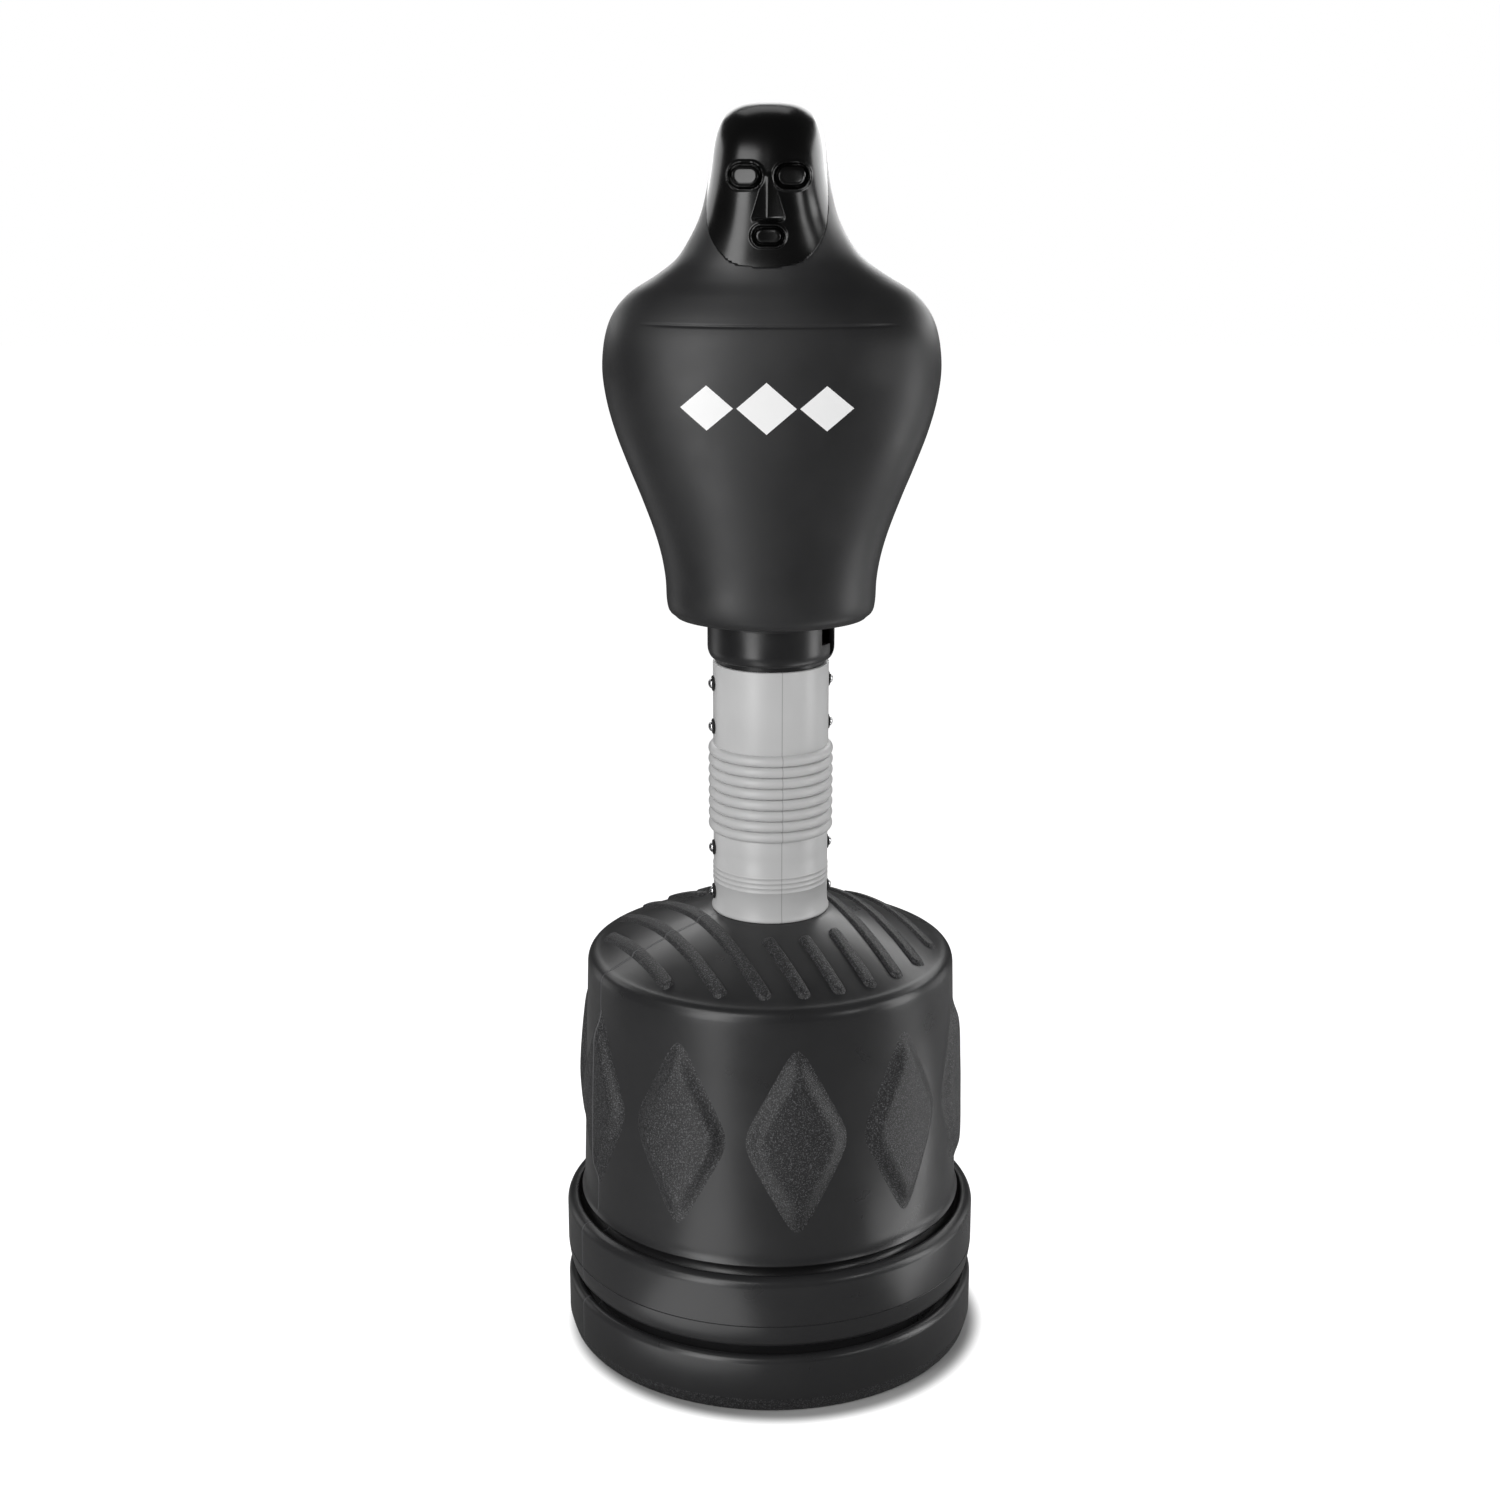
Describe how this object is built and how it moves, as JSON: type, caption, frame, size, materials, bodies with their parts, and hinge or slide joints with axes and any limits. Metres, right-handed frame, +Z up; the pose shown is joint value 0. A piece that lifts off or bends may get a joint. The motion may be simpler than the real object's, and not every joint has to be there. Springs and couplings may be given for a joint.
{
  "type": "body opponent mannequin",
  "caption": "Free-standing boxing mannequin: padded head and torso on a height-adjustable, sprung bellows column over a round fillable base with lozenge relief.",
  "frame": {"origin": "middle of the tank's underside, on the floor", "axes": "+Z up the column, the face looks along -Y, +X to the right of someone facing the mannequin"},
  "size_m": [0.55, 0.55, 1.609],
  "materials": {
    "tank_plastic": "satin moulded polyethylene, grainy on the raised relief",
    "black_plastic": "smooth satin moulding",
    "grey_plastic": "smooth satin moulding",
    "matt_vinyl": "matt soft vinyl skin",
    "gloss_vinyl": "glossy soft vinyl skin",
    "foam": "moulded polyurethane foam",
    "soft_rubber": "matt rubber",
    "polished_steel": "bright zinc plate",
    "spring_steel": "oiled spring steel"
  },
  "bodies": {
    "base": {"base_tank": "tank_plastic", "foot_plug": "black_plastic", "sleeve_lower": "grey_plastic", "bellows_lower": "grey_plastic", "sleeve_screw_1": "polished_steel", "screw_washer_1": "soft_rubber", "sleeve_screw_2": "polished_steel", "screw_washer_2": "soft_rubber", "sleeve_screw_3": "polished_steel", "screw_washer_3": "soft_rubber", "sleeve_screw_4": "polished_steel", "screw_washer_4": "soft_rubber"},
    "bend_link": {"core_spring": "spring_steel"},
    "column_head": {"bellows_upper": "grey_plastic", "sleeve_upper": "grey_plastic", "adjuster_post": "black_plastic", "post_cap": "black_plastic", "sleeve_screw_5": "polished_steel", "screw_washer_5": "soft_rubber", "sleeve_screw_6": "polished_steel", "screw_washer_6": "soft_rubber", "sleeve_screw_7": "polished_steel", "screw_washer_7": "soft_rubber", "sleeve_screw_8": "polished_steel", "screw_washer_8": "soft_rubber"},
    "lift_ring": {"glide_bush": "grey_plastic"},
    "torso": {"socket_tube": "black_plastic", "locking_key": "polished_steel", "foam_core": "foam", "torso_skin": "matt_vinyl", "head_skin": "gloss_vinyl"},
    "cap_lift": {"cap_gasket": "soft_rubber"},
    "filler_cap": {"fill_cap": "black_plastic"}
  },
  "joints": [
    {"name": "bend_fore_aft", "type": "hinge", "parent": "base", "child": "bend_link", "pos_m": [0, 0, 0.727], "axis": [1, 0, 0], "range_deg": [-20, 20], "stiffness_Nm_per_rad": 700, "deforming": ["bellows_lower", "core_spring"]},
    {"name": "bend_sideways", "type": "hinge", "parent": "bend_link", "child": "column_head", "pos_m": [0, 0, 0.784], "axis": [0, 1, 0], "range_deg": [-20, 20], "stiffness_Nm_per_rad": 700, "deforming": ["bellows_upper"]},
    {"name": "height_slide", "type": "slide", "parent": "column_head", "child": "lift_ring", "axis": [0, 0, 1], "range_m": [-0.05, 0.15]},
    {"name": "lock_twist", "type": "hinge", "parent": "lift_ring", "child": "torso", "pos_m": [0, 0, 1], "axis": [0, 0, 1], "range_deg": [0, 15]},
    {"name": "cap_rise", "type": "slide", "parent": "base", "child": "cap_lift", "axis": [0, 0, 1], "range_m": [0, 0.0081]},
    {"name": "cap_turn", "type": "hinge", "parent": "cap_lift", "child": "filler_cap", "pos_m": [-0.04, 0.159, 0.58], "axis": [0, 0, 1], "range_deg": [0, 720]}
  ],
  "couplings": [
    {"joint": "cap_rise", "follows": "cap_turn", "m_per_rad": 0.00063662}
  ]
}
